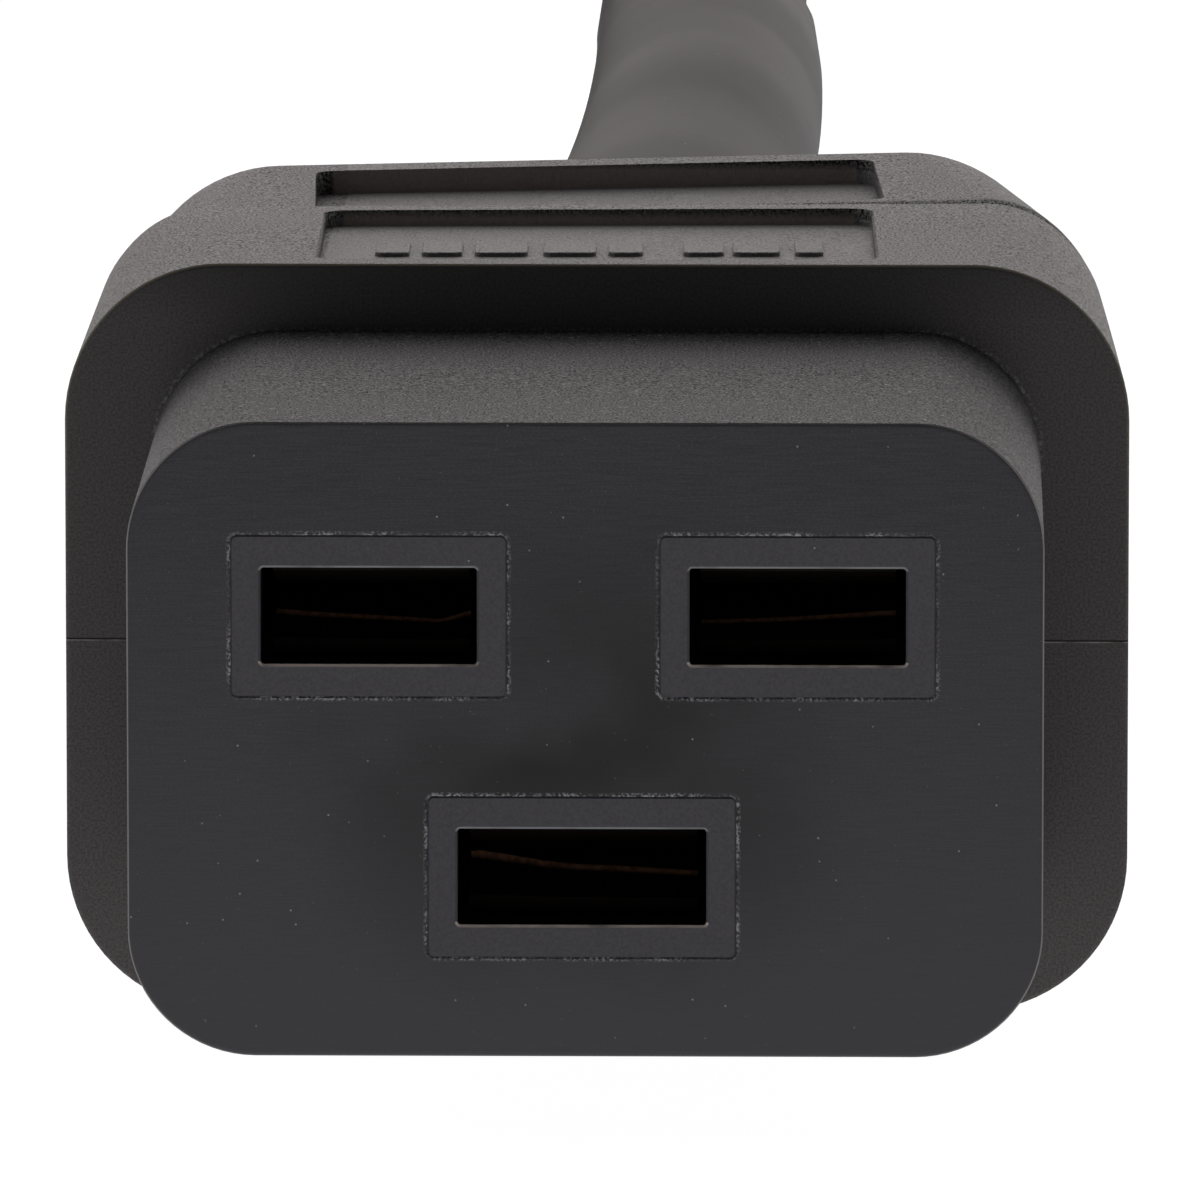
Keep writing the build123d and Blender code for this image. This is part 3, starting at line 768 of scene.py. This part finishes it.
# Grip: one soft black moulding over the nose's root and the cord. It makes the flange, the grip
# with two sunk panels on its top, the shoulder and the slotted strain relief. The mould closed at
# half height, which left a fine line around it, and a row of plain pads stands in the front panel.
body_wide = 33.8 * mm
body_high = 24.0 * mm
body_corner = 5.0 * mm
crease_corner = 3.9 * mm
flange_edge = 0.12 * mm
crease_y = flange_y + 16.5 * mm
crease_edge = 0.3 * mm
crease_inset = 0.1 * mm
rear_y = crease_y + 14.3 * mm
rear_wide = 32.0 * mm
rear_high = 23.8 * mm
rear_corner = 5.4 * mm
rear_edge = 0.45 * mm
tail_y = crease_y + 23.5 * mm
settled_at = [flange_y, crease_y - 0.2 * mm, crease_y + 0.1 * mm, rear_y, tail_y]
settled_aside = [0.0, -0.215 * mm, -0.22 * mm, -0.7 * mm, 0.0]
settled_narrow = [0.0, 0.55 * mm, 0.55 * mm, 0.38 * mm, 0.0]
settled_flat = 10.0 * mm
settled_side = 6.0 * mm
settled_lean = [0.0, 0.006, 0.0235, 0.0235, 0.0]
settled_drop = [0.0, 0.04 * mm, 0.09 * mm, 0.06 * mm, 0.0]
shoulder_wide = 15.6 * mm
shoulder_corner = 6.6 * mm
tail_radius = 7.5 * mm
tail_end_radius = 6.3 * mm
tail_end_round = 0.5 * mm
bore_start = 9.0 * mm
bore_radius = cord_width / 2 + 0.03 * mm
groove_count = 6
groove_first = 4.5 * mm
groove_pitch = 4.6 * mm
groove_long = 1.7 * mm
groove_floor = 5.5 * mm
groove_soft = 0.25 * mm
bridge_half = 2.25 * mm
panel_deep = 0.52 * mm
panel_wide = 17.8 * mm
panel_long = 13.6 * mm
panel_corner = 0.8 * mm
panel_rim = 1.4 * mm
rear_panel_deep = 0.9 * mm
rear_panel_wide = 18.7 * mm
rear_panel_long = 11.3 * mm
rear_panel_aside = 0.05 * mm
panel_ridge = 2.4 * mm
panel_edge = 0.12 * mm
pad_high = 0.14 * mm
pad_long = 3.2 * mm
pad_soft = 0.03 * mm
pad_corner = 0.3 * mm
pad_from_rim = 5.0 * mm
pad_spans = [  # each one's place across and width, in mm
    (-6.6, 1.1), (-5.0, 1.3), (-3.1, 1.7), (-0.9, 1.7),
    (0.9, 1.1), (3.4, 1.3), (5.1, 1.5), (6.8, 0.9),
]
grip_colour = (0.065, 0.0585, 0.0585)
grip_front_colour = (0.047, 0.0425, 0.0425)
grip_front_light_colour = (0.083, 0.0745, 0.0745)
grip_front_top_shade_colour = (0.006, 0.0055, 0.0055)
grip_top_colour = (0.022, 0.0205, 0.0205)
grip_top_light_colour = (0.188, 0.177, 0.176)
grip_glint_colour = (0.14, 0.135, 0.13)
grip_floor_light_colour = (0.27, 0.256, 0.258)
grip_wall_light_colour = (0.4, 0.34, 0.33)
grip_rim_highlight_colour = (0.2, 0.18, 0.13)
grip_flash_colour = (0.16, 0.16, 0.17)
grip_lip_colour = (0.26, 0.245, 0.235)
grip_fine_dust_colour = (0.15, 0.145, 0.145)
grip_dust_colour = (0.3, 0.3, 0.31)

grip_top = body_high
panel_start = flange_y + panel_rim
rear_panel_start = panel_start + panel_long + panel_ridge


def morph(first, last, share, inset=0.0):
    """Section between two others: place, width, height and corner each go evenly with the share."""
    blend = [a + (b - a) * share for a, b in zip(first[:4], last[:4])]
    return (*blend, inset)


def strain_relief(start, length, front_radius, end_radius, count, axis_z):
    """Slotted cone around the cord, as radius over length s and angle t.

    Radius = taper(s) - (taper(s) - floor) * slot(s) * open(t). The taper is straight, slot(s) is 1
    in each slot with a smooth S at its walls, and open(t) is 0 on the two bridges, which turn a
    quarter from slot to slot. The end is rounded.
    """
    wall = np.linspace(0.0, groove_soft, 4)
    starts = groove_first + groove_pitch * np.arange(count)
    cuts = [s + part for s in starts for part in (wall, groove_long - wall[::-1])]
    along = np.unique(np.concatenate([[-1.0 * mm, 0.0], *cuts, [length - tail_end_round]]))
    angle = np.linspace(0.0, 2 * np.pi, 192, endpoint=False)[None, :]
    share = np.clip(along / length, 0.0, 1.0)[:, None]
    taper = front_radius + (end_radius - front_radius) * share
    radius = np.repeat(taper, angle.size, axis=1)
    for number, slot_start in enumerate(starts):
        rise = np.clip((along - slot_start) / groove_soft, 0.0, 1.0)
        fall = np.clip((slot_start + groove_long - along) / groove_soft, 0.0, 1.0)
        slope = np.minimum(rise, fall)[:, None]
        slot = slope * slope * (3 - 2 * slope)
        reach = np.cos(angle) if number % 2 == 0 else np.sin(angle)
        gap = np.clip((np.abs(taper * reach) - bridge_half) / groove_soft, 0.0, 1.0)
        radius -= (taper - groove_floor) * slot * gap * gap * (3 - 2 * gap)
    turn = np.linspace(0.0, np.pi / 2, 5)[1:]
    along = np.concatenate([along, length - tail_end_round * (1 - np.sin(turn)), [length]])
    ends = end_radius - tail_end_round * (1 - np.cos(turn))
    ends = np.concatenate([ends, [ends[-1] - hold]])
    radius = np.concatenate([radius, np.repeat(ends[:, None], angle.size, axis=1)])
    depth = np.repeat((start + along)[:, None], angle.size, axis=1)
    return np.stack([radius * np.cos(angle), depth, axis_z + radius * np.sin(angle)], axis=-1)


def round_bar(start, end, radius, axis_z):
    """Plain round bar along Y, for the bore that the cord fills."""
    angle = np.tile(np.linspace(0.0, 2 * np.pi, 96, endpoint=False), (2, 1))
    depth = np.array([[start], [end]]) + 0 * angle
    return np.stack([radius * np.cos(angle), depth, axis_z + radius * np.sin(angle)], axis=-1)


def along_z(rows, centre):
    """Rounded rectangles in X and Y, each at its own height, run so that faces look outwards."""
    rings, place = stations(rows)
    height = np.broadcast_to(place[:, None], rings.shape[:2])
    points = np.stack([rings[..., 0] + centre[0], rings[..., 1] + centre[1], height], axis=-1)
    return points[:, ::-1]


def panel_cut(start, wide, long, deep, aside=0.0):
    """Sunk panel: straight walls on a flat floor, and an edge that opens out at the top."""
    floor, outline = grip_top - deep, (wide, long, panel_corner)
    rows = [
        (floor, *outline, hold),
        (floor, *outline, 0.0),
        (grip_top - panel_edge, *outline, 0.0),
        (grip_top, *outline, -0.6 * panel_edge),
        (grip_top + 4 * panel_edge, *outline, -2.5 * panel_edge),
    ]
    return form("panel", along_z(rows, (aside, start + long / 2)))


def pad_form(across, wide):
    """Plain pad with round corners, raised on the front panel's floor."""
    floor, outline = grip_top - panel_deep, (wide, pad_long, pad_corner)
    rows = [
        (floor - pad_high, *outline, 0.0),
        (floor + pad_high - pad_soft, *outline, 0.0),
        (floor + pad_high, *outline, pad_soft),
    ]
    return form("pad", along_z(rows, (across, panel_start + pad_from_rim + pad_long / 2)))


def settle(piece):
    """Gives the grip the slight lopsidedness that its top has in the photo.

    With s from 0 at half height to 1 at the top, e from 0 on the flat to 1 or -1 at the two sides,
    and four amounts that go evenly from station to station along Y, x = x + s * (aside - narrow *
    e) and z = z + s * (lean * x - drop).
    """
    points = np.empty(len(piece.data.vertices) * 3)
    piece.data.vertices.foreach_get("co", points)
    points = points.reshape(-1, 3)
    top = np.clip((points[:, 2] - axis_height) / (grip_top - axis_height), 0.0, 1.0)
    aside, narrow, lean, drop = (
        np.interp(points[:, 1], settled_at, values)
        for values in (settled_aside, settled_narrow, settled_lean, settled_drop)
    )
    outer = np.clip((np.abs(points[:, 0]) - settled_flat) / settled_side, 0.0, 1.0)
    points[:, 0] += top * (aside - narrow * outer * np.sign(points[:, 0]))
    points[:, 2] += top * (lean * points[:, 0] - drop)
    piece.data.vertices.foreach_set("co", points.ravel())
    piece.data.update()


flange = (flange_y, body_wide, body_high, body_corner, 0.0)
crease = (crease_y, body_wide, body_high, crease_corner, 0.0)
step_wide, step_high = body_wide - 2 * crease_inset, body_high - 2 * crease_inset
stepped = (crease_y, step_wide, step_high, crease_corner - crease_inset, 0.0)
rear = (rear_y, rear_wide, rear_high, rear_corner, 0.0)
shoulder = (tail_y, shoulder_wide, shoulder_wide, shoulder_corner, 0.0)
front_span = crease_y - flange_y
rear_span = rear_y - crease_y
shoulder_span = tail_y - rear_y
rows = [(*flange[:4], flange_edge + hold)]
rows += [morph(flange, crease, y / front_span, inset) for y, inset in edge(0.0, flange_edge)]
rows += [morph(flange, crease, share) for share in (0.02, 0.35, 0.7)]
crease_edges = reversed(edge(0.0, crease_edge, 6))
rows += [morph(flange, crease, 1 - y / front_span, inset) for y, inset in crease_edges]
rows[-1] = (*rows[-1][:4], 1.6 * crease_inset)
rows += [morph(stepped, rear, share) for share in (0.02, 0.06, 0.4, 0.75)]
rows.append(morph(stepped, rear, 1 - (rear_edge + hold) / rear_span))
for turn in np.linspace(-1.0, 1.0, 7):
    before = morph(stepped, rear, 1 + min(turn, 0.0) * rear_edge / rear_span)
    turned = morph(rear, shoulder, rear_edge * (turn + 1) ** 2 / 4 / shoulder_span)
    wide = before[1] + turned[1] - rear[1]
    high = before[2] + turned[2] - rear[2]
    rows.append((rear_y + turn * rear_edge, wide, high, turned[3], 0.0))
rows += [morph(rear, shoulder, share) for share in (0.12, 0.5, 0.9, 1.0)]
grip = form("grip_shell", along_y(rows))
tail_long = connector_end - tail_y
tail = strain_relief(tail_y, tail_long, tail_radius, tail_end_radius, groove_count, axis_height)
bore = round_bar(bore_start, connector_end + hold, bore_radius, axis_height)
worked(grip, "UNION", [form("tail", tail)])
worked(
    grip,
    "DIFFERENCE",
    [
        panel_cut(panel_start, panel_wide, panel_long, panel_deep),
        panel_cut(
            rear_panel_start, rear_panel_wide, rear_panel_long, rear_panel_deep, rear_panel_aside
        ),
        form("pocket", along_y(root_rows(flange_y - hold, root_end))),
        form("bore", bore),
    ],
)
worked(grip, "UNION", [pad_form(across * mm, wide * mm) for across, wide in pad_spans])
settle(grip)

grip_finish, tree, shader, place = finish("grip_plastic", grip_colour, 0.5, 0.35)
axes = axes_of(tree, place)
side = span(tree, axes["Y"], flange_y + 0.02 * mm, flange_y + 0.14 * mm)
front = opposite(tree, side)
brushed = cloud(tree, place, 0.045 * mm, (50.0, 1.0, 1.0))
grain = cloud(tree, place, 0.14 * mm)
coarse = cloud(tree, place, 0.5 * mm)
groove = near_to(tree, axes["Z"], axis_height, 0.01 * mm, 0.04 * mm)
relief(
    tree,
    shader,
    [
        (both(tree, brushed, front), 0.003 * mm),
        (both(tree, grain, side), 0.06 * mm),
        (both(tree, coarse, side), 0.03 * mm),
        (opposite(tree, groove), 0.05 * mm),
    ],
)
fine = cloud(tree, place, 0.08 * mm, detail=1.0)
glints = both(tree, span(tree, fine, 0.35, 0.65, 0.0, 0.6), side)
gloss = math_of(tree, "ADD", glints, both(tree, front, 0.3))
tree.links.new(gloss, shader.inputs["Specular IOR Level"])
side_tone = tint(tree, span(tree, fine, 0.35, 0.7), grip_top_colour, grip_top_light_colour)
side_tone = tint(tree, span(tree, grain, 0.6, 0.75), side_tone, grip_glint_colour)
aside = math_of(tree, "ABSOLUTE", axes["X"])
# Painted light: the plastic below the top and within the panels' width, the panel floors among it,
# is made lighter.
lit_floors = both(
    tree,
    span(tree, aside, panel_wide / 2 - 0.1 * mm, panel_wide / 2, 0.6, 0.0),
    span(tree, axes["Z"], grip_top - 0.35 * mm, grip_top - 0.3 * mm, 1.0, 0.0),
)
side_tone = tint(tree, lit_floors, side_tone, grip_floor_light_colour)
sunk = both(
    tree,
    span(tree, axes["Z"], grip_top - 0.35 * mm, grip_top - 0.1 * mm, 1.0, 0.0),
    span(tree, aside, rear_panel_wide / 2, rear_panel_wide / 2 + 0.1 * mm, 1.0, 0.0),
)
# Painted light: the panels' back walls, which face the front, are made lighter.
for wall in (panel_start + panel_long, rear_panel_start + rear_panel_long):
    lit = both(tree, near_to(tree, axes["Y"], wall, 0.02 * mm, 0.06 * mm), sunk)
    side_tone = tint(tree, lit, side_tone, grip_wall_light_colour)
front_tone = tint(tree, span(tree, fine, 0.35, 0.65), grip_front_colour, grip_front_light_colour)
# Painted shade: the flange's front is made darker towards its top, above the nose.
high = span(tree, axes["Z"], axis_height + 10.2 * mm, grip_top, 0.0, 0.5)
front_tone = tint(tree, high, front_tone, grip_front_top_shade_colour)
away = from_outline(tree, place, (0.0, axis_height), body_wide / 2, body_high / 2, body_corner)
# Painted highlight: a thin warm line along the flange's outer edge, stronger towards the top.
rim_highlight = both(
    tree,
    span(tree, away, -0.08 * mm, -0.04 * mm),
    span(tree, axes["Y"], flange_y + 0.1 * mm, flange_y + 0.16 * mm, 1.0, 0.0),
    span(tree, axes["Z"], axis_height, grip_top, 0.0, 0.8),
)
base_wide, base_high = nose_wide + nose_draft, nose_high + nose_draft
away = from_outline(tree, place, (0.0, axis_height), base_wide / 2, base_high / 2, nose_corner)
flash = both(
    tree,
    span(tree, away, 0.02 * mm, 0.14 * mm, 1.0, 0.0),
    span(tree, cloud(tree, place, 0.16 * mm, detail=3.0), 0.48, 0.6),
    front,
)
lip = both(
    tree,
    near_to(tree, axes["Z"], axis_height - 0.06 * mm, 0.01 * mm, 0.035 * mm),
    span(tree, cloud(tree, place, 0.7 * mm), 0.35, 0.6),
    front,
)
painted(
    tree,
    shader,
    tint(tree, side, front_tone, side_tone),
    (rim_highlight, grip_rim_highlight_colour),
    (flash, grip_flash_colour),
    (groove, grip_top_colour),
    (lip, grip_lip_colour),
    (dust(tree, place, 0.33 * mm, 0.028 * mm, 0.45), grip_fine_dust_colour),
    (dust(tree, place, 0.55 * mm, 0.045 * mm, 0.45), grip_dust_colour),
)
dressed(grip, grip_finish, "grip_pvc", "grip_body")

# Tie: a strap of black woven tape, closed around the coil, with its end laid back on top of it.
# It holds the two by two turns together, and its own stiffness keeps it a little clear of them.
tie_angle = math.radians(100.0)
tie_wide = 12.0 * mm
tie_thick = 1.2 * mm
tie_under = 0.6 * mm
tie_tab = 14.0 * mm
tie_loose_wide = 0.8 * mm
tie_loose_high = 0.4 * mm
tie_corner = 4.5 * mm
tie_rims = [(-0.5, 0.25), (-0.47, 0.0), (0.47, 0.0), (0.5, 0.25)]  # place along and thinning
tab_round = 0.45
tie_colour = (0.02, 0.02, 0.022)
tie_pile_colour = (0.05, 0.05, 0.053)

coil_wide = 2 * cord_width + tie_loose_wide
coil_high = 2 * cord_width + tie_loose_high
upwards = np.array([0.0, 0.0, 1.0])
tie_out = np.array([math.cos(tie_angle), math.sin(tie_angle), 0.0])
tie_along = np.array([-math.sin(tie_angle), math.cos(tie_angle), 0.0])
tie_middle = np.array([*coil_centre, 0.0]) + coil_radius * tie_out

# The strap is two loops (u, z), its outer and its inner face. A point lies at middle + u * outwards
# + w * along + z * up, and at its two rims each loop is drawn a share of the way to the other.
outer_loop = (0.0, coil_wide + 2 * tie_thick, coil_high + tie_thick, tie_corner, 0.0)
inner_loop = (0.0, coil_wide, coil_high - tie_under, tie_corner - tie_thick, 0.0)
loops = stations([outer_loop, inner_loop])[0]
tie_outer = loops[0] + [0.0, (coil_high + tie_thick) / 2]
tie_inner = loops[1] + [0.0, (coil_high + tie_under) / 2]
tie_rings = [(tie_outer + (tie_inner - tie_outer) * thin, w) for w, thin in tie_rims]
tie_rings += [(tie_inner + (tie_outer - tie_inner) * thin, w) for w, thin in reversed(tie_rims)]
tie_points = np.array(
    [
        tie_middle + ring[:, :1] * tie_out + w * tie_wide * tie_along + ring[:, 1:] * upwards
        for ring, w in tie_rings
    ]
)
tie = form("tie_strap", tie_points, closed_round=True)
tab_row = (tie_wide, tie_thick, tab_round * tie_thick, 0.0)
tab_rings, tab_places = stations([(u, *tab_row) for u in np.linspace(-0.5, 0.5, 9) * tie_tab])
tab_points = (
    tie_middle
    + tab_places[:, None, None] * tie_out
    + tab_rings[..., :1] * tie_along
    + (tab_rings[..., 1:] + coil_high + 1.5 * tie_thick) * upwards
)
worked(tie, "UNION", [form("tab", tab_points)])

tie_finish, tree, shader, place = finish("tie_tape", tie_colour, 0.85, 0.25)
weave = cloud(tree, place, 0.35 * mm, (1.0, 3.0, 1.0), 1.0, turn=-tie_angle)
pile = cloud(tree, place, 0.22 * mm, detail=3.0)
relief(tree, shader, [(weave, 0.12 * mm), (pile, 0.08 * mm)])
painted(tree, shader, tint(tree, span(tree, pile, 0.4, 0.7), tie_colour, tie_pile_colour))
dressed(tie, tie_finish, "tie_fabric", "coil_tie", sharp=50)

# Plug: a soft moulded body around a hard plate, two plated blades and an earth pin, for the wall
# outlet at the cord's far end. It lies on the table beside the straight stretch of the cord.
plug_height = 13.0 * mm
plug_tail_long = 28.0 * mm
plug_shoulder_long = 9.0 * mm
plug_grip_long = 21.0 * mm
plug_wide = 26.0 * mm
plug_corner = 7.0 * mm
plug_edge = 0.9 * mm
plug_neck = 15.4 * mm
plug_neck_corner = 7.4 * mm
plug_soft = 0.12
plug_grooves = 4
plug_bore_start = 33.0 * mm
plate_wide = 20.0 * mm
plate_high = 22.4 * mm
plate_corner = 5.0 * mm
plate_thick = 3.0 * mm
plug_lead = 36.0 * mm
plug_light_colour = (0.06, 0.058, 0.057)
plug_dust_colour = (0.26, 0.26, 0.28)
blade_colour = (0.62, 0.61, 0.57)
blade_shade_colour = (0.5, 0.48, 0.44)

plug_long = plug_tail_long + plug_shoulder_long + plug_grip_long
plug_turn = math.atan2(-plug_heading[0], plug_heading[1]) + math.pi
plug_ahead = np.array([*plug_heading, 0.0])
plug_place = np.array([*lead_from, 0.0]) + (plug_lead + plug_long) * plug_ahead


def in_plug(points):
    """Points laid out along Y from the plug's face, turned and moved to where the plug lies."""
    back = -plug_ahead
    aside = np.array([back[1], -back[0], 0.0])
    across, along, up = points[..., :1], points[..., 1:2], points[..., 2:]
    return plug_place + across * aside + along * back + up * upwards


plug_middle = (0.0, plug_height)
plug_face = (0.0, plug_wide, plug_wide, plug_corner, 0.0)
grip_end = (plug_grip_long, plug_wide, plug_wide, plug_corner, 0.0)
neck_at = (plug_grip_long + plug_shoulder_long, plug_neck, plug_neck, plug_neck_corner, 0.0)
rows = [(*plug_face[:4], plug_edge + hold)]
rows += [(y, plug_wide, plug_wide, plug_corner, inset) for y, inset in edge(0.0, plug_edge, 6)]
rows += [morph(plug_face, grip_end, share) for share in (0.1, 0.5, 0.96)]
for turn in np.linspace(-1.0, 1.0, 7):
    turned = morph(grip_end, neck_at, plug_soft * (turn + 1) ** 2 / 4)
    rows.append((plug_grip_long + turn * plug_soft * plug_shoulder_long, *turned[1:4], 0.0))
rows += [morph(grip_end, neck_at, share) for share in (0.2, 0.5, 0.9, 1.0)]
plug = form("plug_shell", in_plug(along_y(rows, plug_middle)))
plug_tail = strain_relief(
    neck_at[0], plug_tail_long, tail_radius, tail_end_radius, plug_grooves, plug_height
)
worked(plug, "UNION", [form("tail", in_plug(plug_tail))])
plate_rows = [(y, plate_wide, plate_high, plate_corner, 0.0) for y in (-hold, plate_thick)]
plate = form("plate", in_plug(along_y(plate_rows, plug_middle)))
bore = form("bore", in_plug(round_bar(plug_bore_start, plug_long + hold, bore_radius, plug_height)))
worked(plug, "DIFFERENCE", [plate, bore])

plug_finish, tree, shader, place = finish("plug_plastic", grip_colour, 0.5, 0.35)
grain = cloud(tree, place, 0.17 * mm)
coarse = cloud(tree, place, 0.5 * mm)
relief(tree, shader, [(grain, 0.03 * mm), (coarse, 0.02 * mm)])
tone = tint(tree, span(tree, grain, 0.42, 0.7), grip_top_colour, plug_light_colour)
painted(tree, shader, tone, (dust(tree, place, 0.8 * mm, 0.06 * mm, 0.3), plug_dust_colour))
dressed(plug, plug_finish, "grip_pvc", "plug_body")

coloured("plug_carrier", insert_finish)
blade_finish, tree, shader, place = finish("plated_blade", blade_colour, 0.25, metal=1.0)
drawn = cloud(tree, place, 0.06 * mm, (1.0, 40.0, 1.0), turn=-plug_turn)
relief(tree, shader, [(drawn, 0.004 * mm)])
painted(tree, shader, tint(tree, drawn, blade_colour, blade_shade_colour))
tree.links.new(span(tree, drawn, 0.3, 0.7, 0.2, 0.34), shader.inputs["Roughness"])
for node in ("plug_line_blade", "plug_neutral_blade", "plug_earth_pin"):
    coloured(node, blade_finish)

bpy.context.view_layer.update()
